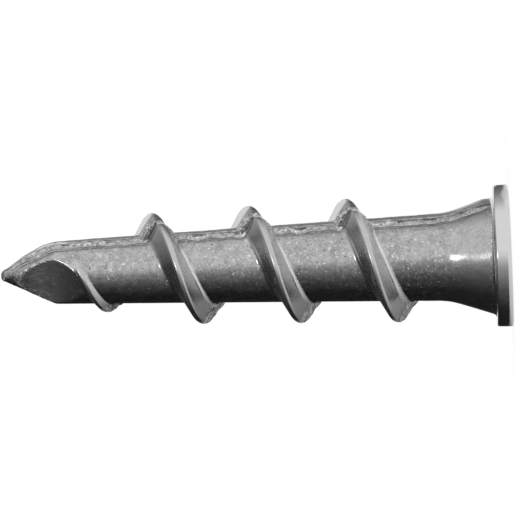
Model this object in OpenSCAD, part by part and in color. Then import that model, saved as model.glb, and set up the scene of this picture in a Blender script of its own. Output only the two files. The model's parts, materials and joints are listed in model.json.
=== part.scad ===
// Self-drilling drywall anchor, die cast in one piece from zinc alloy.
// It stands on its flange: the driven face is the plane z = 0 and the drill
// point is at the top. The two halves of the die met in the XZ plane, so the
// hollowed sides of the drill point face +Y and -Y.

/* [Overall] */
// Length from the flange face to the end of the drill point
overall_l = 32; // [30:0.1:36]

/* [Flange] */
// Diameter of the flange
flange_d = 8.9; // [8.4:0.1:10]
// Thickness of the flange at its rim
flange_t = 1; // [0.8:0.05:1.4]
// Radius of the cast edges of the rim
flange_edge_r = 0.13; // [0.05:0.01:0.3]

/* [Neck] */
// Diameter of the neck where it meets the back of the flange
neck_d = 7.4; // [6.8:0.1:7.7]
// Length of the conical neck behind the flange
neck_l = 2.9; // [2.4:0.1:3.6]
// Radius of the fillet between the neck and the flange
neck_fillet_r = 0.35; // [0.1:0.05:0.45]
// Radius of the blend between the neck and the shank
neck_blend_r = 3; // [1:0.1:4]

/* [Shank] */
// Diameter of the shank where the neck begins
shank_d = 5.37; // [5:0.01:5.8]
// Diameter of the shank where the drill point begins
shank_end_d = 3.78; // [3.65:0.01:4.4]

/* [Drill point] */
// Length of the conical drill point
point_l = 3.4; // [3:0.1:4.4]
// Radius of the blunt tip
point_tip_r = 0.36; // [0.2:0.02:0.5]
// Radius of the shoulder between the shank and the drill point
point_shoulder_r = 0.8; // [0.2:0.1:1.2]
// Radius of the hollow on each side of the drill point
hollow_r = 6; // [5:0.1:8]
// Length of each hollow, from the end of the drill point to where it leaves the shank
hollow_l = 5; // [4.4:0.1:5.4]
// Thickness of the web that is left between the two hollows
hollow_web_t = 1.16; // [1:0.02:1.5]

/* [Thread] */
// Distance between neighbouring turns
thread_pitch = 6.1; // [5:0.1:7]
// Height of the crest above the shank
thread_h = 1.33; // [1:0.01:1.6]
// Width of the thread at its root, fillets left out
thread_root_w = 1.6; // [1.2:0.05:1.8]
// Width of the crest
thread_crest_w = 0.34; // [0.3:0.02:0.6]
// Radius of the rounded edges of the crest
thread_crest_r = 0.13; // [0.05:0.01:0.2]
// Radius of the root fillets
thread_fillet_r = 0.4; // [0.2:0.01:0.45]
// Distance of the thread's first point from the end of the drill point
thread_start = 4.5; // [4:0.1:6]
// Direction of the thread's first point, seen from the tip
thread_start_angle = 330; // [0:1:359]
// Distance between the thread's last point and the blend of the neck
thread_neck_gap = 0.6; // [0.6:0.1:3]
// Turns over which the thread rises out of the shank at the point
thread_run_in = 0.84; // [0.3:0.01:1.2]
// Turns over which the thread fades out towards the neck
thread_run_out = 0.2; // [0.1:0.01:0.5]

/* [Screw hole] */
// Diameter of the blind hole that the screw cuts its thread in
bore_d = 3; // [2.6:0.05:3.1]
// Depth of the hole to the end of its straight wall
bore_depth = 23; // [18:0.5:24]
// Included angle of the hole's conical end
bore_end_angle = 118; // [90:1:140]
// Width of the countersink at the mouth of the hole
bore_mouth_w = 0.3; // [0.1:0.05:0.5]

/* [Cross recess] */
// Span of the wings across the flange face
recess_d = 5.2; // [4.6:0.1:5.6]
// Width of each wing
recess_wing_w = 1.1; // [0.9:0.05:1.3]
// Depth at which the wings run out into the wall of the hole
recess_depth = 2.9; // [2:0.1:3.2]

/* [Hidden] */
$fn = 96;

zinc = [0.62, 0.63, 0.64];
arc_steps = 3;
flank_steps = 3;
pull_steps = 24;
steps_per_turn = 48;
thread_least_width = 0.35;
angle_margin = 0.01;
cut_margin = 1;

flange_r = flange_d / 2;
neck_r = neck_d / 2;
shank_r = shank_d / 2;
shank_end_r = shank_end_d / 2;
bore_r = bore_d / 2;
recess_r = recess_d / 2;
neck_end_z = flange_t + neck_l;
shoulder_z = overall_l - point_l;

// The cone of the drill point touches the ball of the blunt tip
tip_centre_z = overall_l - point_tip_r;
point_reach = norm([shank_end_r, tip_centre_z - shoulder_z]);
point_half_angle = atan2(shank_end_r, tip_centre_z - shoulder_z) - asin(point_tip_r / point_reach);

// Points of the arc that rounds the middle one of three corners
function corner_arc(before, at, after, radius) =
    let (
        to_before = (before - at) / norm(before - at),
        to_after = (after - at) / norm(after - at),
        half_angle = acos(to_before * to_after) / 2,
        bisector = (to_before + to_after) / norm(to_before + to_after),
        centre = at + bisector * radius / sin(half_angle),
        first = at + to_before * radius / tan(half_angle) - centre,
        last = at + to_after * radius / tan(half_angle) - centre,
        first_angle = atan2(first[1], first[0]),
        sweep = atan2(first[0] * last[1] - first[1] * last[0], first * last)
    )
    [for (i = [0:arc_steps])
        let (angle = first_angle + sweep * i / arc_steps)
        centre + radius * [cos(angle), sin(angle)]];

// Radius of the tapered shank at a height
function shank_r_at(z) =
    shank_r + (shank_end_r - shank_r) * (z - neck_end_z) / (shoulder_z - neck_end_z);

// Rows of the plain stem below the thread, as radius and height, going down
function neck_rows() =
    let (
        back_rim = [flange_r, flange_t],
        neck_foot = [neck_r, flange_t],
        neck_end = [shank_r, neck_end_z],
        shoulder = [shank_end_r, shoulder_z],
        fillet = corner_arc(neck_end, neck_foot, back_rim, neck_fillet_r),
        foot_r = fillet[arc_steps - 1][0]
    )
    concat(
        corner_arc(shoulder, neck_end, neck_foot, neck_blend_r),
        [for (i = [0:arc_steps - 1]) fillet[i]],
        [[foot_r, flange_t / 2]]
    );

// Rows of the plain stem above the thread, as radius and height, going up
function point_rows() =
    let (
        neck_end = [shank_r, neck_end_z],
        shoulder = [shank_end_r, shoulder_z],
        cone_end = point_tip_r * [cos(point_half_angle), sin(point_half_angle)] + [0, tip_centre_z]
    )
    concat(
        corner_arc(neck_end, shoulder, cone_end, point_shoulder_r),
        [for (i = [0:arc_steps - 1])
            let (angle = point_half_angle + (90 - point_half_angle) * i / arc_steps)
            point_tip_r * [cos(angle), sin(angle)] + [0, tip_centre_z]]
    );

// Points between the two ends of a straight flank
function flank_points(from, to) =
    [for (i = [1:flank_steps - 1]) from + (to - from) * i / flank_steps];

// Section of the thread, as offset along the axis and height, going down
function thread_section() =
    let (
        root = thread_root_w / 2,
        crest = thread_crest_w / 2,
        toe = root + thread_fillet_r,
        upper_root = corner_arc([toe, 0], [root, 0], [crest, thread_h], thread_fillet_r),
        upper_crest = corner_arc([root, 0], [crest, thread_h], [-crest, thread_h], thread_crest_r),
        lower_crest = corner_arc([crest, thread_h], [-crest, thread_h], [-root, 0], thread_crest_r),
        lower_root = corner_arc([-crest, thread_h], [-root, 0], [-toe, 0], thread_fillet_r)
    )
    concat(
        upper_root,
        flank_points(upper_root[arc_steps], upper_crest[0]),
        upper_crest,
        lower_crest,
        flank_points(lower_crest[arc_steps], lower_root[0]),
        lower_root
    );

// Direction of a step along the thread, and of the same step on a plain row
function step_angle(step) = thread_start_angle - 360 * step / steps_per_turn;

// Height of the middle of the thread at a step from the point
function thread_z(step) = overall_l - thread_start - thread_pitch * step / steps_per_turn;

// Share of its full height that the thread has at a step from the point
function thread_growth(step, steps) =
    let (
        risen = step / (thread_run_in * steps_per_turn),
        left = (steps - step) / (thread_run_out * steps_per_turn)
    )
    max(0, min(1, risen, left));

// Share of its full width that the thread has at that growth
function thread_width(growth) = thread_least_width + (1 - thread_least_width) * growth;

// Radius of the shank with its thread, in a direction and at a height
function threaded_r(section, steps, angle, z) =
    let (
        first_step = (thread_start_angle - angle) * steps_per_turn / 360,
        turns = round((thread_z(first_step) - z) / thread_pitch),
        step = first_step + turns * steps_per_turn,
        growth = thread_growth(step, steps),
        offset = (z - thread_z(step)) / thread_width(growth)
    )
    shank_r_at(z) + growth * lookup(offset, section);

// The same with the flanks filled near the parting plane, so that neither half
// of the die is caught when it is pulled off along Y
function pulled_r(section, steps, angle, z) =
    let (
        parting = cos(angle) > 0 ? 0 : 180,
        off_parting = asin(abs(sin(angle))),
        on_parting = off_parting < angle_margin,
        side = sign(sin(angle)) * sign(cos(angle)),
        room = 90 - off_parting
    )
    max([
        threaded_r(section, steps, angle, z),
        for (way = on_parting ? [-1, 1] : [side], i = [1:pull_steps])
            if (room > angle_margin)
                let (further = off_parting + room * i / pull_steps)
                threaded_r(section, steps, parting + way * further, z) * cos(further) / cos(off_parting)
    ]);

// Points of the thread's section in space at a step from the point
function thread_column(section, step, steps) =
    let (
        angle = step_angle(step),
        width = thread_width(thread_growth(step, steps))
    )
    [for (place = section)
        let (
            height = thread_z(step) + width * place[0],
            radius = pulled_r(section, steps, angle, height)
        )
        [radius * cos(angle), radius * sin(angle), height]];

// Points of a plain row of the stem
function row_points(row) =
    [for (step = [0:steps_per_turn - 1])
        [row[0] * cos(step_angle(step)), row[0] * sin(step_angle(step)), row[1]]];

// Neck, threaded shank and drill point, swept in one surface: the thread is a
// helical band of columns, and plain rows close it towards the neck and the tip
module stem() {
    section = thread_section();
    low_rows = neck_rows();
    high_rows = point_rows();
    thread_l = overall_l - thread_start - thread_neck_gap - low_rows[0][1];
    turn = steps_per_turn;
    last = round(thread_l / thread_pitch * turn);
    across = len(section);

    columns = [for (step = [0:last]) each thread_column(section, step, last)];
    high_start = len(columns);
    low_start = high_start + len(high_rows) * turn;
    tip = low_start + len(low_rows) * turn;
    points = concat(
        columns,
        [for (row = high_rows) each row_points(row)],
        [for (row = low_rows) each row_points(row)],
        [[0, 0, overall_l]]
    );

    function band(step, place) = step * across + place;
    function high(row, step) = high_start + row * turn + step % turn;
    function low(row, step) = low_start + row * turn + step % turn;

    toe = across - 1;
    thread_faces = [for (i = [0:last - 1], j = [0:toe - 1])
        [band(i, j), band(i, j + 1), band(i + 1, j + 1), band(i + 1, j)]];
    shank_faces = [for (i = [0:last - turn - 1])
        [band(i, toe), band(i + turn, 0), band(i + turn + 1, 0), band(i + 1, toe)]];
    above_faces = [for (i = [0:turn - 2])
        [high(0, i), band(i, 0), band(i + 1, 0), high(0, i + 1)]];
    below_faces = [for (i = [last - turn + 1:last - 1])
        [band(i, toe), low(0, i), low(0, i + 1), band(i + 1, toe)]];

    // The thread's two ends, each a fan from the plain row beside it
    first_fan = concat(
        [band(turn - 1, 0), band(turn, 0)],
        [for (j = [toe:-1:0]) band(0, j)],
        [high(0, 0)]
    );
    last_fan = concat(
        [band(last - turn + 1, toe), band(last - turn, toe)],
        [for (j = [0:toe]) band(last, j)],
        [low(0, last)]
    );
    fan_faces = concat(
        [for (k = [0:len(first_fan) - 2]) [high(0, turn - 1), first_fan[k], first_fan[k + 1]]],
        [for (k = [0:len(last_fan) - 2]) [low(0, last + 1), last_fan[k], last_fan[k + 1]]]
    );

    point_faces = [for (row = [0:len(high_rows) - 2], i = [0:turn - 1])
        [high(row + 1, i), high(row, i), high(row, i + 1), high(row + 1, i + 1)]];
    tip_faces = [for (i = [0:turn - 1])
        [tip, high(len(high_rows) - 1, i), high(len(high_rows) - 1, i + 1)]];
    neck_faces = [for (row = [0:len(low_rows) - 2], i = [0:turn - 1])
        [low(row, i), low(row + 1, i), low(row + 1, i + 1), low(row, i + 1)]];
    foot_face = [for (i = [turn - 1:-1:0]) low(len(low_rows) - 1, i)];

    polyhedron(points, concat(
        thread_faces, shank_faces, above_faces, below_faces, fan_faces,
        point_faces, tip_faces, neck_faces, [foot_face]
    ));
}

module flange() {
    rotate_extrude()
        polygon(concat(
            [[0, 0]],
            corner_arc([0, 0], [flange_r, 0], [flange_r, flange_t], flange_edge_r),
            corner_arc([flange_r, 0], [flange_r, flange_t], [0, flange_t], flange_edge_r),
            [[0, flange_t]]
        ));
}

// One hollow of the drill point, a round scoop across the axis
module hollow_cut() {
    scoop_depth = shank_r_at(overall_l - hollow_l) - hollow_web_t / 2;
    scoop_l = sqrt(hollow_r ^ 2 - (hollow_r - scoop_depth) ^ 2);
    translate([0, -hollow_web_t / 2 - hollow_r, overall_l - hollow_l + scoop_l])
        rotate([0, 90, 0])
            cylinder(h = 2 * flange_d, r = hollow_r, center = true);
}

module screw_hole() {
    end_l = bore_r / tan(bore_end_angle / 2);
    translate([0, 0, -cut_margin])
        cylinder(h = bore_depth + cut_margin, r = bore_r);
    translate([0, 0, bore_depth])
        cylinder(h = end_l, r1 = bore_r, r2 = 0);
    translate([0, 0, -cut_margin])
        cylinder(h = bore_mouth_w + cut_margin, r1 = bore_r + bore_mouth_w + cut_margin, r2 = bore_r);
}

// Cross of four wings whose outer edges taper in to the wall of the hole
module cross_recess() {
    slope = (recess_r - bore_r) / recess_depth;
    intersection() {
        translate([0, 0, -cut_margin])
            cylinder(
                h = recess_depth + 2 * cut_margin,
                r1 = recess_r + slope * cut_margin,
                r2 = bore_r - slope * cut_margin
            );
        for (turn = [0, 90])
            rotate([0, 0, turn])
                cube([2 * flange_d, recess_wing_w, 4 * recess_depth], center = true);
    }
}

module anchor() {
    color(zinc)
        difference() {
            union() {
                flange();
                stem();
            }
            hollow_cut();
            rotate([0, 0, 180])
                hollow_cut();
            screw_hole();
            cross_recess();
        }
}

anchor();
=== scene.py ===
import json
import math

import bpy
import numpy as np
from mathutils import Matrix, Vector, noise

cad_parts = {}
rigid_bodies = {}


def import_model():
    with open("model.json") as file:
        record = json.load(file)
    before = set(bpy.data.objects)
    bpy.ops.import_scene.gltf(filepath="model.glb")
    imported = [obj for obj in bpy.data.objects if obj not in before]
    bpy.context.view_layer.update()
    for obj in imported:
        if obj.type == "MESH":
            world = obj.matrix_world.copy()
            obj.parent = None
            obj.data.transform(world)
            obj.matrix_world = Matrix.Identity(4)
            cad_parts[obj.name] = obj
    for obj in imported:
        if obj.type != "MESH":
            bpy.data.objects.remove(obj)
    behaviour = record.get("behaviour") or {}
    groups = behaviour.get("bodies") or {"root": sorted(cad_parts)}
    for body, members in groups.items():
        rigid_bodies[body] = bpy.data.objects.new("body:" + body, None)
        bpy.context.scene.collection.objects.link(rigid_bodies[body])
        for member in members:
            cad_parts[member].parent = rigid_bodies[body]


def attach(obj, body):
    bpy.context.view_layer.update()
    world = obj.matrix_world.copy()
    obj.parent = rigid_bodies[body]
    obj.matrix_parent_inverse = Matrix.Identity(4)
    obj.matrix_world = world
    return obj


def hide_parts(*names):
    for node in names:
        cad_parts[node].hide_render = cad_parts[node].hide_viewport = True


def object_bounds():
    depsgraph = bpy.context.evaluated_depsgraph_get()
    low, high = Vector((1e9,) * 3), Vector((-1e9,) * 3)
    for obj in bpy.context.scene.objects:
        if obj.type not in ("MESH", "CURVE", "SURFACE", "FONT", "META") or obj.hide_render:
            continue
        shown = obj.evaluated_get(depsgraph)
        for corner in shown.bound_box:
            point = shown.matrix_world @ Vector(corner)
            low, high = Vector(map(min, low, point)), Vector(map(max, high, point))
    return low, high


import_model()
cad_low, cad_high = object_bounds()

# Threaded stem: shank, coarse right-hand thread, conical neck and drill point.
# It is die cast in zinc alloy in one shot with the flange. Its sizes are in
# millimetres here, and the finished casting is brought to metres.
mm = 0.001
overall_l = cad_high.z / mm
thread_pitch = 6.1
thread_h = 1.33
thread_root_w = 1.62
thread_crest_w = 0.34
thread_fillet = 0.27
thread_crest_round = 0.14
thread_first_z = overall_l - 4.45
thread_first_angle = math.radians(332)
thread_turns = 3.71
thread_run_in = 0.84
thread_run_out = 0.2
thread_least_width = 0.35
steps_per_turn = 300
drawn_r = 10

# One pitch of the thread's outline, drawn as a chain of points on a wide radius
bpy.ops.object.select_all(action="DESELECT")
bpy.ops.mesh.primitive_plane_add(size=1)
casting = bpy.context.object
casting.name = "anchor_casting"
bpy.ops.object.mode_set(mode="EDIT")
bpy.ops.mesh.select_mode(type="VERT")
bpy.ops.mesh.select_all(action="SELECT")
bpy.ops.mesh.merge(type="CENTER")
bpy.ops.transform.translate(value=(drawn_r, 0, -thread_pitch / 2))
outline = [
    (-thread_root_w / 2, 0),
    (-thread_crest_w / 2, thread_h),
    (thread_crest_w / 2, thread_h),
    (thread_root_w / 2, 0),
    (thread_pitch / 2, 0),
]
pen = (-thread_pitch / 2, 0)
for along, out in outline:
    step = (out - pen[1], 0, along - pen[0])
    bpy.ops.mesh.extrude_region_move(TRANSFORM_OT_translate={"value": step})
    pen = (along, out)


def select_points(obj, wanted):
    """Selects what lies between the points of the mesh whose place is wanted."""
    bpy.ops.object.mode_set(mode="OBJECT")
    mesh = obj.data
    for point in mesh.vertices:
        point.select = wanted(point.co)
    for edge in mesh.edges:
        edge.select = all(mesh.vertices[i].select for i in edge.vertices)
    for face in mesh.polygons:
        face.select = all(mesh.vertices[i].select for i in face.vertices)
    bpy.ops.object.mode_set(mode="EDIT")


near = 0.01
select_points(casting, lambda co: abs(abs(co.z) - thread_root_w / 2) < near)
bpy.ops.mesh.bevel(offset=thread_fillet, segments=5, affect="VERTICES")
select_points(casting, lambda co: co.x > drawn_r + thread_h - near)
bpy.ops.mesh.bevel(offset=thread_crest_round, segments=3, affect="VERTICES")
toe = thread_root_w / 2 + thread_fillet
select_points(casting, lambda co: abs(co.z) > toe - near)
bpy.ops.mesh.subdivide(number_cuts=15)
select_points(casting, lambda co: 0.2 * thread_h < co.x - drawn_r < 0.95 * thread_h)
bpy.ops.mesh.subdivide(number_cuts=5)
bpy.ops.object.mode_set(mode="OBJECT")


def read_points(obj):
    """The mesh's points as rows of x, y and z."""
    flat = np.empty(3 * len(obj.data.vertices))
    obj.data.vertices.foreach_get("co", flat)
    return flat.reshape(-1, 3)


drawn = read_points(casting)
drawn = drawn[np.argsort(drawn[:, 2])]
section_along = drawn[:, 2]
section_height = drawn[:, 0] - drawn_r

bpy.ops.object.modifier_add(type="SCREW")
screw = casting.modifiers[-1]
screw.angle = math.tau
screw.screw_offset = thread_pitch
screw.iterations = 7
screw.steps = screw.render_steps = steps_per_turn
bpy.ops.object.modifier_apply(modifier=screw.name)

# The drawn rod is brought to the anchor's own radius: neck, tapered shank and
# point in one line, with the thread growing out of it and fading into it
neck_r = 3.7
neck_foot_z = 1
neck_end_z = 3.9
shank_r = 2.685
shank_end_r = 1.89
shoulder_z = overall_l - 3.4
point_tip_r = 0.36
tip_centre_z = overall_l - point_tip_r
reach = math.hypot(shank_end_r, tip_centre_z - shoulder_z)
point_slope = math.atan2(shank_end_r, tip_centre_z - shoulder_z) - math.asin(point_tip_r / reach)
cone_end_z = tip_centre_z + point_tip_r * math.sin(point_slope)
neck_blend = 0.09
near_shoulder_blend = 0.026
far_shoulder_blend = 0.16


def plain_r(z, shoulder_blend):
    """Radius of the stem at a height, thread and hollows left out."""
    shank = shank_r + (shank_end_r - shank_r) * (z - neck_end_z) / (shoulder_z - neck_end_z)
    neck = shank_r + (neck_r - shank_r) * (neck_end_z - z) / (neck_end_z - neck_foot_z)
    point = shank_end_r - math.tan(point_slope) * (z - shoulder_z)
    wide = neck_blend * np.logaddexp(shank / neck_blend, neck / neck_blend)
    return -shoulder_blend * np.logaddexp(-wide / shoulder_blend, -point / shoulder_blend)


hollow_r = 6
hollow_l = 5
hollow_web_t = 1.16
hollow_blend = 0.012
hollow_run_out = 0.16
scoop_depth = float(plain_r(overall_l - hollow_l, near_shoulder_blend)) - hollow_web_t / 2
scoop_l = math.sqrt(hollow_r ** 2 - (hollow_r - scoop_depth) ** 2)
scoop_z = overall_l - hollow_l + scoop_l


def scooped_r(angle, z):
    """Distance of the drill point's two hollows from the axis, in a direction and at a height."""
    from_scoop = np.clip(z - scoop_z, -hollow_r, hollow_r)
    off_axis = hollow_web_t / 2 + hollow_r - np.sqrt(hollow_r ** 2 - from_scoop ** 2)
    run_out = np.clip((from_scoop + 1.7) / 2, 0, 1)
    off_axis += hollow_run_out * run_out ** 2 * (3 - 2 * run_out)
    return off_axis / np.maximum(np.abs(np.sin(angle)), 0.05)


def stem_r(angle, z):
    """Radius of the stem with its two hollows, thread left out."""
    plain = plain_r(z, np.where(np.sin(angle) > 0, far_shoulder_blend, near_shoulder_blend))
    scooped = scooped_r(angle, z)
    return -hollow_blend * np.logaddexp(-plain / hollow_blend, -scooped / hollow_blend)


def thread_place(angle, z):
    """Height of the thread's middle at a point's nearest turn, and its growth there."""
    lead = thread_first_z + thread_pitch * (angle - thread_first_angle) / math.tau
    middle = lead + thread_pitch * np.round((z - lead) / thread_pitch)
    turn = (thread_first_z - middle) / thread_pitch
    growth = np.minimum(turn / thread_run_in, (thread_turns - turn) / thread_run_out)
    return middle, np.clip(growth, 0, 1)


def cast_r(angle, z):
    """Radius of the stem with its thread, in a direction and at a height."""
    middle, growth = thread_place(angle, z)
    width = thread_least_width + (1 - thread_least_width) * growth
    return stem_r(angle, z) + growth * np.interp((z - middle) / width, section_along, section_height)


pull_blend = 0.03


def pulled_r(angle, z):
    """The same once nothing holds it in the die, whose halves pull along Y."""
    from_parting = np.minimum(np.arcsin(np.abs(np.sin(angle))), math.pi / 2 - 0.002)
    parting = np.where(np.cos(angle) > 0, 0, math.pi)
    way = np.sign(np.sin(angle)) * np.sign(np.cos(angle))
    cast = cast_r(angle, z)
    held = np.zeros_like(cast)
    for share in np.linspace(0, 1, 41)[1:-1]:
        further = from_parting + share * (math.pi / 2 - from_parting)
        beyond = cast_r(parting + way * further, z) * np.cos(further)
        held = np.maximum(held, beyond / np.cos(from_parting))
    return pull_blend * np.logaddexp(cast / pull_blend, held / pull_blend)


def write_points(obj, points):
    obj.data.vertices.foreach_set("co", points.ravel())
    obj.data.update()


points = read_points(casting)
drawn_turns = 4
angle = np.arctan2(points[:, 1], points[:, 0])
lift = thread_first_z - thread_pitch * (thread_first_angle / math.tau + drawn_turns)
z = points[:, 2] + lift
middle, growth = thread_place(angle, z)
along = z - middle
width = thread_least_width + (1 - thread_least_width) * growth
half_pitch = thread_pitch / 2
beside = toe * width + (abs(along) - toe) * (half_pitch - toe * width) / (half_pitch - toe)
along = np.where(abs(along) < toe, along * width, np.sign(along) * beside)
z = middle + along
radius = pulled_r(angle, np.minimum(z, cone_end_z + near))
points = np.column_stack((radius * np.cos(angle), radius * np.sin(angle), z))
write_points(casting, points)
bpy.ops.object.mode_set(mode="EDIT")
bpy.ops.mesh.select_all(action="SELECT")
bpy.ops.mesh.remove_doubles(threshold=0.001)


# The rod is cut where the round tip begins, and the tip drawn in ring by ring
def cut_stem(z, normal):
    """Cuts the stem off at a height and leaves the cut's edge selected."""
    bpy.ops.mesh.select_all(action="SELECT")
    bpy.ops.mesh.bisect(plane_co=(0, 0, z), plane_no=(0, 0, normal), clear_outer=True)
    return float(plain_r(z, near_shoulder_blend))


def draw_ring(old, new):
    """Draws the selected edge on to a new radius and height."""
    bpy.ops.mesh.extrude_region_move(
        TRANSFORM_OT_translate={"value": (0, 0, new[1] - old[1])}
    )
    share = new[0] / old[0]
    bpy.ops.transform.resize(value=(share, share, 1), center_override=(0, 0, 0))
    return new


tip_steps = 6
ring = (cut_stem(cone_end_z, 1), cone_end_z)
for i in range(1, tip_steps):
    turn = point_slope + (math.pi / 2 - point_slope) * i / tip_steps
    new = (point_tip_r * math.cos(turn), tip_centre_z + point_tip_r * math.sin(turn))
    ring = draw_ring(ring, new)
ring = draw_ring(ring, (0.01, overall_l))
bpy.ops.mesh.merge(type="CENTER")

# Flange: the round rim that stops the anchor flush with the board, cast with
# the stem. A small fillet joins it to the neck and its edges are rounded.
flange_r = min(cad_high.x, cad_high.y) / mm
flange_t = 1
flange_edge_r = 0.13
rim_draft = 0.03
neck_fillet_r = 0.32
neck_lean = math.atan2(neck_r - shank_r, neck_end_z - neck_foot_z)
fillet_half = (math.pi / 2 + neck_lean) / 2
fillet_reach = neck_fillet_r / math.tan(fillet_half)
fillet_centre = (neck_r + fillet_reach, flange_t + neck_fillet_r)
fillet_z = flange_t + neck_fillet_r * (1 - math.sin(neck_lean))
ring = (cut_stem(fillet_z, -1), fillet_z)
for i in range(1, 6):
    turn = math.pi + neck_lean + (math.pi / 2 - neck_lean) * i / 5
    new = (
        fillet_centre[0] + neck_fillet_r * math.cos(turn),
        fillet_centre[1] + neck_fillet_r * math.sin(turn),
    )
    ring = draw_ring(ring, new)
for i in range(0, 4):
    turn = math.pi / 2 * (1 - i / 3)
    new = (
        flange_r - rim_draft - flange_edge_r * (1 - math.cos(turn)),
        flange_t - flange_edge_r * (1 - math.sin(turn)),
    )
    ring = draw_ring(ring, new)
for i in range(1, 6):
    new = (
        flange_r - rim_draft * (1 - i / 5),
        flange_t - flange_edge_r - (flange_t - 2 * flange_edge_r) * i / 5,
    )
    ring = draw_ring(ring, new)
for i in range(1, 4):
    turn = math.pi / 2 * i / 3
    new = (
        flange_r - flange_edge_r * (1 - math.cos(turn)),
        flange_edge_r * (1 - math.sin(turn)),
    )
    ring = draw_ring(ring, new)
face_ring_r = 3.4
for radius in (4, 3.7, face_ring_r):
    ring = draw_ring(ring, (radius, 0))
bpy.ops.mesh.select_all(action="SELECT")
bpy.ops.mesh.normals_make_consistent(inside=False)
bpy.ops.object.mode_set(mode="OBJECT")

# Parting line: the two halves of the die met in the XZ plane a little out of
# line. The half on +Y stands off by that much and swells at the point, and a
# thin flash was squeezed out between them and broken off unevenly.
die_shift = (0.08, 0.12)
flash_h = 0.1
flash_w = 0.07
groove_depth = 0.07
scratch_w = 0.06
scratches = ((-0.36, -0.06), (0.2, -0.09), (0.36, 0.07), (0.52, -0.07))
far_swell = 0.16
points = read_points(casting)
x, y, z = points.T.copy()
on_stem = np.clip((z - fillet_z) / 0.5, 0, 1) * np.clip((overall_l - 0.5 - z) / 0.9, 0, 1)
flash_run = np.array([noise.noise(Vector((back, 0, 1.1 * up))) for back, up in zip(x < 0, z)])
flash_break = np.array([noise.noise(Vector((back, 9, 3.1 * up))) for back, up in zip(x < 0, z)])
flash_y = 0.12 * flash_run
flash = flash_h * (0.7 + 0.8 * flash_break) * np.exp(-(((y - flash_y) / flash_w) ** 2)) * on_stem
groove_y = flash_y - 0.16 - 0.06 * flash_break
flash -= groove_depth * (0.8 - 1.2 * flash_run) * np.exp(-(((y - groove_y) / flash_w) ** 2)) * on_stem
on_point = (0.35 + 0.65 * np.clip((z - shoulder_z + 1.5) / 2, 0, 1)) * on_stem
for line_y, line_h in scratches:
    jag = line_y + 0.12 * flash_run + 0.05 * flash_break
    flash += line_h * (0.8 + flash_break) * np.exp(-(((y - jag) / scratch_w) ** 2)) * on_point
side = np.hypot(x, y)
swell = np.where(side > 0.3, 1 + flash / np.maximum(side, 0.3), 1)
far_half = (y > 0.001) * np.clip((z - fillet_z) / 0.5, 0, 1) * np.clip((overall_l - 0.1 - z) / 2.4, 0, 1)
bulge = far_swell * np.sin(np.pi * np.clip((z - shoulder_z + 0.6) / (overall_l - shoulder_z + 0.6), 0, 1))
points[:, 0] = x * swell + far_half * die_shift[0] + far_half * bulge * x / np.maximum(side, 0.3)
points[:, 1] = y * swell + far_half * die_shift[1] + far_half * bulge * y / np.maximum(side, 0.3)
write_points(casting, points)

# Cast skin: shallow waves and grains left by the metal as it chilled against
# the die, fine on flange and neck and rough past the parting line and on the
# thread's ends, which the die tore as it was pulled off
turned = np.arctan2(y, x)
below_tip = np.minimum(z, tip_centre_z)
rise = side * swell - stem_r(turned, below_tip)
past_neck = points[:, 2] > neck_end_z + 0.2
drag = (pulled_r(turned, below_tip) - cast_r(turned, below_tip) - 0.03) * past_neck
thread_middle = thread_place(turned, below_tip)[0]
to_head = thread_middle - points[:, 2] - thread_crest_w / 2
from_back = np.degrees(np.arcsin(np.clip(np.abs(np.sin(turned)), 0, 1)))
back_end = np.clip((54 - from_back) / 18, 0, 1) * (points[:, 0] < 0) * np.clip((rise - 0.05) / 0.1, 0, 1)
drag = np.maximum(drag, 0.12 * back_end * past_neck)
edge_gap = plain_r(below_tip, near_shoulder_blend) - scooped_r(turned, below_tip)
marks = (
    ("hollow_edge", np.exp(-((edge_gap / 0.12) ** 2)) * np.clip((points[:, 2] - shoulder_z) / 0.5, 0, 1)),
    ("in_hollow", np.clip(edge_gap / 0.1, 0, 1) * np.clip((points[:, 2] - shoulder_z + 1.7) / 0.1, 0, 1)),
    ("thread_rise", np.clip((rise - 0.02) / 0.08, 0, 1) * past_neck),
    ("head_flank_highlight", np.clip((rise - 0.02) / 0.08, 0, 1) * np.clip(to_head / 0.08, 0, 1) * past_neck),
    ("die_drag", np.clip(drag / 0.12, 0, 1)),
)
for name, share in marks:
    mark = casting.data.attributes.new(name, "FLOAT", "POINT")
    mark.data.foreach_set("value", share)
skin = casting.vertex_groups.new(name="cast_skin")
zones = [
    (0.15, np.full(len(points), True)),
    (1.2, drag > 0.05),
    (0.5, (points[:, 2] > 4) & (points[:, 2] < 8.4)),
    (0.12, (points[:, 2] > fillet_z) & (points[:, 2] < 3.2)),
    (1.4, (points[:, 1] > 0.02) & (points[:, 2] > 3.2)),
    (1.4, points[:, 2] > shoulder_z + 0.3),
    (0.12, points[:, 2] < fillet_z),
    (0.0, points[:, 2] < 0.05),
]
for weight, inside in zones:
    skin.add(np.flatnonzero(inside).tolist(), weight, "REPLACE")
for name, grain, depth in (("chill_waves", 0.8, 0.04), ("chill_grain", 0.22, 0.03)):
    clouds = bpy.data.textures.new(name, type="CLOUDS")
    clouds.noise_scale = grain
    clouds.noise_depth = 2
    bpy.ops.object.modifier_add(type="DISPLACE")
    waves = casting.modifiers[-1]
    waves.texture = clouds
    waves.texture_coords = "LOCAL"
    waves.strength = depth
    waves.mid_level = 0.5
    waves.vertex_group = skin.name
    bpy.ops.object.modifier_apply(modifier=waves.name)
casting.vertex_groups.clear()

# Screw hole: blind, cored by a pin in the die, with a drilled cone at its end
# and a small countersink at its mouth
cutters = bpy.data.collections.new("cutters")
bpy.context.scene.collection.children.link(cutters)


def to_cutters(obj):
    for home in obj.users_collection:
        home.objects.unlink(obj)
    cutters.objects.link(obj)


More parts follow.
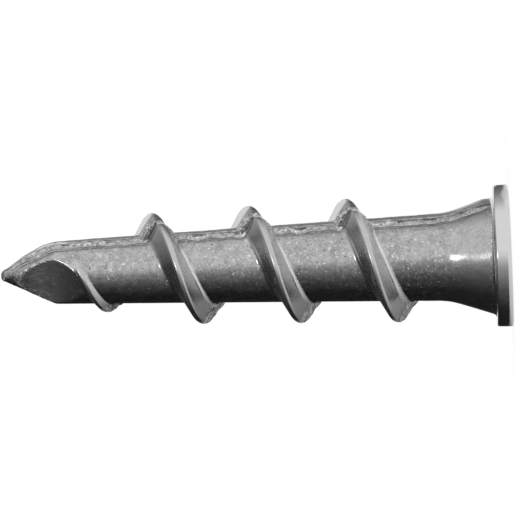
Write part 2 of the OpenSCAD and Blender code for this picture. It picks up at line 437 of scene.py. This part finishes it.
hole_r = 1.5
hole_depth = 23
hole_end = hole_r / math.tan(math.radians(59))
mouth_w = 0.3
bpy.ops.object.select_all(action="DESELECT")
bpy.ops.mesh.primitive_cylinder_add(
    vertices=96,
    radius=hole_r,
    depth=hole_depth - mouth_w,
    location=(0, 0, (hole_depth + mouth_w) / 2),
)
hole = bpy.context.object
bpy.ops.object.transform_apply(location=True, rotation=True, scale=True)
bpy.ops.object.mode_set(mode="EDIT")
select_points(hole, lambda co: co.z > hole_depth - near)
bpy.ops.mesh.extrude_region_move(TRANSFORM_OT_translate={"value": (0, 0, hole_end)})
bpy.ops.mesh.merge(type="CENTER")
select_points(hole, lambda co: co.z < mouth_w + near)
bpy.ops.mesh.extrude_region_move(TRANSFORM_OT_translate={"value": (0, 0, -2 * mouth_w)})
grow = 1 + 2 * mouth_w / hole_r
bpy.ops.transform.resize(value=(grow, grow, 1), center_override=(0, 0, 0))
bpy.ops.object.mode_set(mode="OBJECT")
to_cutters(hole)

# Cross recess: four wings for the driver, cast into the face and run out into
# the wall of the hole
wing_span_r = 2.6
wing_w = 1.1
wing_depth = 2.9
wing_slope = (wing_span_r - hole_r) / wing_depth
for turn in (0, math.pi / 2):
    bpy.ops.object.select_all(action="DESELECT")
    bpy.ops.mesh.primitive_cone_add(
        vertices=76,
        radius1=wing_span_r + wing_slope,
        radius2=hole_r - wing_slope,
        depth=wing_depth + 2,
        location=(0, 0, wing_depth / 2),
    )
    wing = bpy.context.object
    bpy.ops.object.transform_apply(location=True, rotation=True, scale=True)
    bpy.ops.object.mode_set(mode="EDIT")
    across = Vector((-math.sin(turn), math.cos(turn), 0))
    for way in (1, -1):
        bpy.ops.mesh.select_all(action="SELECT")
        bpy.ops.mesh.bisect(
            plane_co=across * way * wing_w / 2,
            plane_no=across * way,
            clear_outer=True,
            use_fill=True,
        )
    bpy.ops.object.mode_set(mode="OBJECT")
    to_cutters(wing)

# The middle of the driven face is cut on a plug, whose face and hole walls are
# then joined to the ring that the flange was left open at
plug_r = 3.2
plug_h = 25
bpy.ops.object.select_all(action="DESELECT")
bpy.ops.mesh.primitive_cylinder_add(
    vertices=96,
    radius=plug_r,
    depth=plug_h,
    location=(0, 0, plug_h / 2),
)
plug = bpy.context.object
bpy.ops.object.transform_apply(location=True, rotation=True, scale=True)
bpy.ops.object.modifier_add(type="BOOLEAN")
cuts = plug.modifiers[-1]
cuts.operation = "DIFFERENCE"
cuts.operand_type = "COLLECTION"
cuts.collection = cutters
cuts.solver = "EXACT"
bpy.ops.object.modifier_apply(modifier=cuts.name)
for cutter in list(cutters.objects):
    bpy.data.objects.remove(cutter)
bpy.data.collections.remove(cutters)
bpy.ops.object.mode_set(mode="EDIT")
bpy.ops.mesh.select_mode(type="FACE")
bpy.ops.mesh.select_all(action="DESELECT")
bpy.ops.object.mode_set(mode="OBJECT")
for face in plug.data.polygons:
    outer_wall = face.center.xy.length > plug_r - 0.1 and abs(face.normal.z) < 0.5
    face.select = outer_wall or face.center.z > plug_h - near
bpy.ops.object.mode_set(mode="EDIT")
bpy.ops.mesh.delete(type="FACE")
bpy.ops.mesh.select_all(action="SELECT")
bpy.ops.mesh.remove_doubles(threshold=0.001)
bpy.ops.object.mode_set(mode="OBJECT")
casting.select_set(True)
bpy.context.view_layer.objects.active = casting
bpy.ops.object.join()
bpy.ops.object.mode_set(mode="EDIT")
bpy.ops.mesh.select_mode(type="EDGE")
select_points(casting, lambda co: co.z < near and plug_r - near < co.xy.length < face_ring_r + 0.1)
bpy.ops.mesh.bridge_edge_loops()
bpy.ops.mesh.select_all(action="SELECT")
bpy.ops.mesh.normals_make_consistent(inside=False)
bpy.ops.object.mode_set(mode="OBJECT")

points = read_points(casting)
points[:, 2] = np.clip(points[:, 2], 0, overall_l)
side = np.maximum(np.hypot(points[:, 0], points[:, 1]), 0.001)
points[:, :2] *= np.minimum(1, flange_r / side)[:, None]
write_points(casting, points)
casting.scale = (mm, mm, mm)
bpy.ops.object.transform_apply(location=False, rotation=False, scale=True)
bpy.ops.object.shade_smooth_by_angle(angle=math.radians(38))

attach(casting, "root")
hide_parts("anchor")

# Zinc skin: bare die-cast zinc, semi-bright and mottled. Fine grains and small
# bright flecks cover it, with pits and cold wrinkles where the metal met late.
zinc = bpy.data.materials.new("zinc_skin")
zinc.use_nodes = True
skin_nodes = zinc.node_tree.nodes
skin_links = zinc.node_tree.links
shader = skin_nodes["Principled BSDF"]
coordinates = skin_nodes.new("ShaderNodeTexCoord")
in_mm = skin_nodes.new("ShaderNodeMapping")
in_mm.inputs["Scale"].default_value = (1 / mm, 1 / mm, 1 / mm)
skin_links.new(coordinates.outputs["Object"], in_mm.inputs["Vector"])


def skin_noise(scale, detail, roughness, kind="FBM", distortion=0):
    """Noise over the casting, with its scale in grains per millimetre."""
    node = skin_nodes.new("ShaderNodeTexNoise")
    node.noise_type = kind
    node.inputs["Scale"].default_value = scale
    node.inputs["Detail"].default_value = detail
    node.inputs["Roughness"].default_value = roughness
    node.inputs["Distortion"].default_value = distortion
    skin_links.new(in_mm.outputs["Vector"], node.inputs["Vector"])
    return node.outputs["Fac"]


def skin_range(value, start, end, low=0, high=1):
    """A value brought from one range to another, held inside it."""
    node = skin_nodes.new("ShaderNodeMapRange")
    node.interpolation_type = "SMOOTHSTEP"
    skin_links.new(value, node.inputs["Value"])
    for name, limit in (("From Min", start), ("From Max", end), ("To Min", low), ("To Max", high)):
        node.inputs[name].default_value = limit
    return node.outputs["Result"]


def skin_math(operation, first, second):
    """One sum on two values, either of which may be a plain number."""
    node = skin_nodes.new("ShaderNodeMath")
    node.operation = operation
    for value, socket in zip((first, second), node.inputs):
        if isinstance(value, (int, float)):
            socket.default_value = value
        else:
            skin_links.new(value, socket)
    return node.outputs["Value"]


def skin_tone(below, above, share):
    """A colour mixed from two, each a colour or a socket, by a share."""
    node = skin_nodes.new("ShaderNodeMix")
    node.data_type = "RGBA"
    skin_links.new(share, node.inputs["Factor"])
    for value, socket in ((below, node.inputs["A"]), (above, node.inputs["B"])):
        if isinstance(value, tuple):
            socket.default_value = (*value, 1)
        else:
            skin_links.new(value, socket)
    return node.outputs["Result"]


places = skin_nodes.new("ShaderNodeSeparateXYZ")
skin_links.new(in_mm.outputs["Vector"], places.inputs["Vector"])
height = places.outputs["Z"]
away = places.outputs["Y"]
on_flange = skin_range(height, 1.25, 1.05)
on_neck = skin_range(height, 4.8, 2.2)
on_shank = skin_math("SUBTRACT", 1, on_neck)
past_parting = skin_math("MULTIPLY", skin_range(away, 0.2, 0.45), skin_range(away, 2.2, 1.4))
past_parting = skin_math("MULTIPLY", past_parting, skin_range(on_flange, 0.5, 0))
parting_shade = skin_math("MULTIPLY", skin_range(away, -0.16, -0.04), skin_range(away, 0.4, 0.25))
pitted_belt = skin_math("MULTIPLY", skin_range(height, 3.4, 4.4), skin_range(height, 8.6, 7.6))


def skin_mark(name):
    """One of the shares that the casting's points carry."""
    node = skin_nodes.new("ShaderNodeAttribute")
    node.attribute_name = name
    return node.outputs["Fac"]


dragged = skin_mark("die_drag")
on_thread = skin_math("SUBTRACT", skin_mark("thread_rise"), skin_math("MULTIPLY", dragged, 0.7))
head_flank_highlight = skin_math("MULTIPLY", skin_mark("head_flank_highlight"), skin_range(dragged, 0.6, 0.1))
far_flank_shade = skin_math("MULTIPLY", skin_range(away, 0.05, 0.2), skin_range(away, 1.3, 0.95))
far_thread = skin_math("MULTIPLY", skin_mark("thread_rise"), skin_range(places.outputs["X"], 0, 0.2))
far_flank_shade = skin_math("MULTIPLY", far_flank_shade, far_thread)
hollow_edge = skin_mark("hollow_edge")
in_hollow = skin_mark("in_hollow")
speckled = skin_math("MULTIPLY", on_shank, skin_range(on_thread, 0.9, 0.2, 0.15, 1))

mottle = skin_noise(1.6, 4, 0.65)
grain = skin_noise(4.8, 3, 0.6, distortion=1.2)
hollows = skin_noise(4.5, 2, 0.5, distortion=0.5)
wrinkle = skin_noise(1.5, 3, 0.5, "RIDGED_MULTIFRACTAL", 0.6)
bright = skin_math("MULTIPLY", skin_range(grain, 0.62, 0.69), speckled)
dark = skin_math("MULTIPLY", skin_range(hollows, 0.31, 0.25), speckled)
flange_edge = skin_math("MULTIPLY", skin_range(height, 1.5, 1.3), skin_range(height, 0.8, 0.95))
edge_fleck = skin_math("MULTIPLY", skin_range(grain, 0.55, 0.63), flange_edge)
bright = skin_math("MAXIMUM", bright, edge_fleck)

tone = skin_tone((0.36, 0.36, 0.357), (0.47, 0.47, 0.466), skin_range(mottle, 0.36, 0.62))
tone = skin_tone(tone, (0.26, 0.26, 0.26), skin_math("MULTIPLY", skin_range(grain, 0.47, 0.33), 0.75))
tone = skin_tone(tone, (0.58, 0.58, 0.575), skin_math("MULTIPLY", skin_range(grain, 0.52, 0.64), 0.75))
tone = skin_tone(tone, (0.55, 0.55, 0.546), skin_math("MULTIPLY", on_thread, 0.8))
# Painted highlight: the thread's flank that faces the head is painted lighter, in place of the light it
# would mirror.
tone = skin_tone(tone, (0.85, 0.85, 0.845), skin_math("MULTIPLY", head_flank_highlight, 0.8))
# Partly painted highlight: the band past the parting line has rougher skin, and it is also painted lighter,
# as light on that side.
tone = skin_tone(tone, (0.8, 0.8, 0.795), skin_math("MULTIPLY", past_parting, 0.8))
tone = skin_tone(tone, (0.85, 0.85, 0.845), skin_math("MULTIPLY", in_hollow, 0.5))
# Painted shade: a dark patch on the thread flanks just past the parting line on the far half.
tone = skin_tone(tone, (0.2, 0.2, 0.198), skin_math("MULTIPLY", far_flank_shade, 0.85))
tone = skin_tone(tone, (0.45, 0.45, 0.447), skin_math("MULTIPLY", on_neck, 0.45))
# Painted shade: a mottled dark band along the parting line, in place of shade in its groove.
tone = skin_tone(tone, (0.27, 0.27, 0.268), skin_math("MULTIPLY", parting_shade, skin_range(hollows, 0.4, 0.6)))
tone = skin_tone(tone, (0.64, 0.64, 0.635), on_flange)
tone = skin_tone(tone, (0.85, 0.85, 0.84), skin_math("MULTIPLY", bright, 0.85))
chipped = skin_math("MULTIPLY", hollow_edge, skin_range(grain, 0.48, 0.56))
tone = skin_tone(tone, (0.95, 0.95, 0.94), chipped)
torn = skin_math("MULTIPLY", dragged, skin_range(grain, 0.48, 0.56))
tone = skin_tone(tone, (0.78, 0.78, 0.775), torn)
skin_links.new(skin_range(torn, 0, 1, 1, 0.5), shader.inputs["Metallic"])
tone = skin_tone(tone, (0.1, 0.1, 0.1), skin_math("MULTIPLY", dark, 0.75))
skin_links.new(tone, shader.inputs["Base Color"])

gloss = skin_range(mottle, 0.3, 0.7, 0.15, 0.2)
gloss = skin_math("ADD", gloss, skin_math("MULTIPLY", past_parting, 0.14))
gloss = skin_math("SUBTRACT", gloss, skin_math("MULTIPLY", on_flange, 0.08))
gloss = skin_math("ADD", gloss, skin_math("MULTIPLY", dragged, 0.3))
gloss = skin_math("ADD", gloss, skin_math("MULTIPLY", on_thread, 0.08))
skin_links.new(gloss, shader.inputs["Roughness"])

relief = skin_math("MULTIPLY", grain, 0.06)
relief = skin_math("ADD", relief, skin_math("MULTIPLY", wrinkle, 0.05))
relief = skin_math("ADD", relief, skin_math("MULTIPLY", bright, 0.16))
relief = skin_math("SUBTRACT", relief, skin_math("MULTIPLY", dark, 0.5))
relief = skin_math("ADD", relief, skin_math("MULTIPLY", skin_math("MULTIPLY", grain, dragged), 1.2))
relief = skin_math("ADD", relief, skin_math("MULTIPLY", chipped, 0.6))
relief = skin_math("ADD", relief, skin_math("MULTIPLY", skin_math("MULTIPLY", wrinkle, pitted_belt), 0.5))
relief = skin_math("MULTIPLY", relief, skin_range(on_flange, 0, 1, 1, 0.15))
bump = skin_nodes.new("ShaderNodeBump")
bump.inputs["Distance"].default_value = 0.02 * mm
bump.inputs["Strength"].default_value = 1
skin_links.new(relief, bump.inputs["Height"])
skin_links.new(bump.outputs["Normal"], shader.inputs["Normal"])
casting.data.materials.clear()
casting.data.materials.append(zinc)

# Floor: plain white paper that the anchor stands on. The camera sees it white with a faint shadow. The metal
# mirrors a painted grey on it instead, painted shade that is dark on one side.
camera_angle = math.radians(30)
camera_turn = camera_angle - math.pi / 2
bpy.ops.object.select_all(action="DESELECT")
bpy.ops.mesh.primitive_plane_add(size=1.2)
floor = bpy.context.object
floor.name = "floor"


def painted_studio_round(tree, place, stops):
    """Painted reflection: grey of the studio all round the anchor, for mirror rays. Stops give it at angles
    that count from the camera towards the upper side of the picture. A painted white sheet leans over from
    behind, and overhead it goes from dark to light across the picture."""
    turned = tree.nodes.new("ShaderNodeMapping")
    turned.inputs["Rotation"].default_value = (0, 0, -camera_turn)
    tree.links.new(place, turned.inputs["Vector"])
    parts = tree.nodes.new("ShaderNodeSeparateXYZ")
    tree.links.new(turned.outputs["Vector"], parts.inputs["Vector"])
    around = tree.nodes.new("ShaderNodeMath")
    around.operation = "ARCTAN2"
    tree.links.new(parts.outputs["Y"], around.inputs[0])
    tree.links.new(parts.outputs["X"], around.inputs[1])
    share = tree.nodes.new("ShaderNodeMapRange")
    share.inputs["From Min"].default_value = -math.pi
    share.inputs["From Max"].default_value = math.pi
    tree.links.new(around.outputs["Value"], share.inputs["Value"])
    ramp = tree.nodes.new("ShaderNodeValToRGB")
    elements = ramp.color_ramp.elements
    while len(elements) < len(stops):
        elements.new(0.5)
    for element, (degrees, grey) in zip(elements, stops):
        element.position = degrees / 360 + 0.5
        element.color = (grey, grey, grey, 1)
    tree.links.new(share.outputs["Result"], ramp.inputs["Fac"])
    overhead = tree.nodes.new("ShaderNodeMapRange")
    tree.links.new(parts.outputs["Y"], overhead.inputs["Value"])
    for name, limit in (("From Min", -0.35), ("From Max", 0.35), ("To Min", 0.03), ("To Max", 0.45)):
        overhead.inputs[name].default_value = limit
    height = tree.nodes.new("ShaderNodeMapRange")
    tree.links.new(parts.outputs["Z"], height.inputs["Value"])
    height.inputs["From Min"].default_value = 0.62
    height.inputs["From Max"].default_value = 0.82
    lower = tree.nodes.new("ShaderNodeVectorMath")
    lower.operation = "MINIMUM"
    lower.inputs[1].default_value = (1, 0, 1)
    tree.links.new(turned.outputs["Vector"], lower.inputs[0])
    behind = tree.nodes.new("ShaderNodeVectorMath")
    behind.operation = "DOT_PRODUCT"
    behind.inputs[1].default_value = (-1, 2.2, 0.8)
    tree.links.new(lower.outputs["Vector"], behind.inputs[0])
    backdrop = tree.nodes.new("ShaderNodeMapRange")
    backdrop.inputs["From Min"].default_value = 0.95
    backdrop.inputs["From Max"].default_value = 1.03
    tree.links.new(behind.outputs["Value"], backdrop.inputs["Value"])
    sides = tree.nodes.new("ShaderNodeMix")
    sides.data_type = "RGBA"
    sides.inputs["B"].default_value = (1, 1, 1, 1)
    tree.links.new(backdrop.outputs["Result"], sides.inputs["Factor"])
    tree.links.new(ramp.outputs["Color"], sides.inputs["A"])
    whole = tree.nodes.new("ShaderNodeMix")
    whole.data_type = "RGBA"
    tree.links.new(height.outputs["Result"], whole.inputs["Factor"])
    tree.links.new(sides.outputs["Result"], whole.inputs["A"])
    tree.links.new(overhead.outputs["Result"], whole.inputs["B"])
    return whole.outputs["Result"]


def show_white(tree, plain, share, mirrored):
    """Shows white to the camera and to glass, and a painted studio reflection to metal."""
    path = tree.nodes.new("ShaderNodeLightPath")
    part = tree.nodes.new("ShaderNodeMath")
    part.operation = "MULTIPLY"
    part.inputs[1].default_value = share
    tree.links.new(path.outputs["Is Camera Ray"], part.inputs[0])
    seen = part.outputs["Value"]
    for name in ("Is Glossy Ray", "Is Transmission Ray"):
        either = tree.nodes.new("ShaderNodeMath")
        either.operation = "MAXIMUM"
        tree.links.new(seen, either.inputs[0])
        tree.links.new(path.outputs[name], either.inputs[1])
        seen = either.outputs["Value"]
    colour = tree.nodes.new("ShaderNodeMix")
    colour.data_type = "RGBA"
    colour.inputs["A"].default_value = (1.02, 1.02, 1.02, 1)
    tree.links.new(path.outputs["Is Glossy Ray"], colour.inputs["Factor"])
    tree.links.new(mirrored, colour.inputs["B"])
    white = tree.nodes.new("ShaderNodeEmission")
    tree.links.new(colour.outputs["Result"], white.inputs["Color"])
    mix = tree.nodes.new("ShaderNodeMixShader")
    tree.links.new(seen, mix.inputs["Fac"])
    tree.links.new(plain, mix.inputs[1])
    tree.links.new(white.outputs["Emission"], mix.inputs[2])
    return mix.outputs["Shader"]


paper = bpy.data.materials.new("white_paper")
paper.use_nodes = True
paper_shader = paper.node_tree.nodes["Principled BSDF"]
paper_shader.inputs["Base Color"].default_value = (1, 1, 1, 1)
paper_shader.inputs["Roughness"].default_value = 0.9
paper_place = paper.node_tree.nodes.new("ShaderNodeTexCoord")
# Painted reflection: the grey that the metal mirrors in the floor, set by the angle from the camera, with
# its own stops close to the anchor.
paper_round = painted_studio_round(
    paper.node_tree,
    paper_place.outputs["Object"],
    [
        (-180, 0.02), (-95, 0.01), (-62, 0.04), (-40, 0.12), (-22, 0.3), (-8, 0.6),
        (0, 1), (78, 1), (95, 0.6), (120, 0.25), (150, 0.12), (180, 0.02),
    ],
)
paper_reach = paper.node_tree.nodes.new("ShaderNodeVectorMath")
paper_reach.operation = "LENGTH"
paper.node_tree.links.new(paper_place.outputs["Object"], paper_reach.inputs[0])
paper_far = paper.node_tree.nodes.new("ShaderNodeMapRange")
paper_far.inputs["From Min"].default_value = 0.026
paper_far.inputs["From Max"].default_value = 0.036
paper.node_tree.links.new(paper_reach.outputs["Value"], paper_far.inputs["Value"])
paper_close = painted_studio_round(
    paper.node_tree,
    paper_place.outputs["Object"],
    [
        (-180, 0.12), (-145, 0.18), (-112, 0.32), (-92, 0.45), (-60, 0.68), (-20, 0.88),
        (0, 1), (78, 1), (110, 0.85), (150, 0.5), (180, 0.05),
    ],
)
paper_mirrored_shade = paper.node_tree.nodes.new("ShaderNodeMix")
paper_mirrored_shade.data_type = "RGBA"
paper.node_tree.links.new(paper_close, paper_mirrored_shade.inputs["A"])
paper.node_tree.links.new(paper_far.outputs["Result"], paper_mirrored_shade.inputs["Factor"])
paper.node_tree.links.new(paper_round, paper_mirrored_shade.inputs["B"])
shown = show_white(paper.node_tree, paper_shader.outputs["BSDF"], 0.75, paper_mirrored_shade.outputs["Result"])
paper.node_tree.links.new(shown, paper.node_tree.nodes["Material Output"].inputs["Surface"])
floor.data.materials.append(paper)

# Studio: a white room at a plain level of light. Only mirror rays see its painted dark side below the
# picture, a painted reflection that darkens the lower half of the metal, and a painted white sheet behind
# the anchor that shows in the far crests.
room = bpy.data.worlds.new("white_room")
bpy.context.scene.world = room
room.use_nodes = True
room_light = room.node_tree.nodes["Background"]
room_light.inputs["Color"].default_value = (1, 1, 1, 1)
room_light.inputs["Strength"].default_value = 1
room_place = room.node_tree.nodes.new("ShaderNodeTexCoord")
room_painted_reflection = painted_studio_round(
    room.node_tree,
    room_place.outputs["Generated"],
    [
        (-180, 0.8), (-176, 0.04), (-148, 0.014), (-113, 0.015), (-92, 0.02), (-75, 0.056), (-59, 0.092),
        (-44, 0.18), (-30, 0.3), (-20, 0.38), (-8, 0.64), (0, 0.86), (10, 1), (78, 1),
        (95, 0.66), (118, 0.3), (150, 0.14), (160, 0.3), (168, 0.8), (180, 0.8),
    ],
)
shown = show_white(room.node_tree, room_light.outputs["Background"], 1, room_painted_reflection)
room.node_tree.links.new(shown, room.node_tree.nodes["World Output"].inputs["Surface"])

# Lamp: one small soft lamp over the camera, outside the picture. It gives the
# glint where the neck runs into the shank.
bpy.ops.object.select_all(action="DESELECT")


def hang_lamp(name, angle, elevation, distance, size, brightness):
    """A square soft lamp aimed at the anchor, with its brightness as white is 1."""
    turn = camera_turn + math.radians(angle)
    rise = math.radians(elevation)
    middle = Vector((0, 0, overall_l * mm / 2))
    way = Vector((math.cos(turn) * math.cos(rise), math.sin(turn) * math.cos(rise), math.sin(rise)))
    bpy.ops.object.light_add(type="AREA", location=middle + way * distance)
    lamp = bpy.context.object
    lamp.name = name
    lamp.rotation_euler = way.to_track_quat("Z", "Y").to_euler()
    lamp.data.size = size
    lamp.data.energy = brightness * math.pi * size * size
    lamp.visible_camera = False


hang_lamp("glint_lamp", 0, 28.5, 0.5, 0.07, 9)

# Camera: far off and level with the anchor, as through a long lens. It lies on
# its side, because the photo shows the anchor lying with its head to the right.
lens = 1000
sensor = 36
pixels = 515
pixels_per_mm = 15.95
back = Vector((math.sin(camera_angle), -math.cos(camera_angle), 0))
head_way = Vector((0, 0, -1))
across = back.cross(head_way)
tilt = math.radians(2.31)
right = math.cos(tilt) * head_way - math.sin(tilt) * across
up = math.sin(tilt) * head_way + math.cos(tilt) * across
face_x, face_y = 510.7, 255.3
aim = -(face_x - pixels / 2) / pixels_per_mm * mm * right - (pixels / 2 - face_y) / pixels_per_mm * mm * up
distance = pixels / pixels_per_mm * mm * lens / sensor
bpy.ops.object.camera_add(location=aim + back * distance)
camera = bpy.context.object
camera.rotation_euler = Matrix((right, up, back)).transposed().to_euler()
camera.data.lens = lens
camera.data.sensor_width = sensor
camera.data.clip_end = 10
bpy.context.scene.camera = camera
bpy.context.scene.view_settings.view_transform = "Standard"
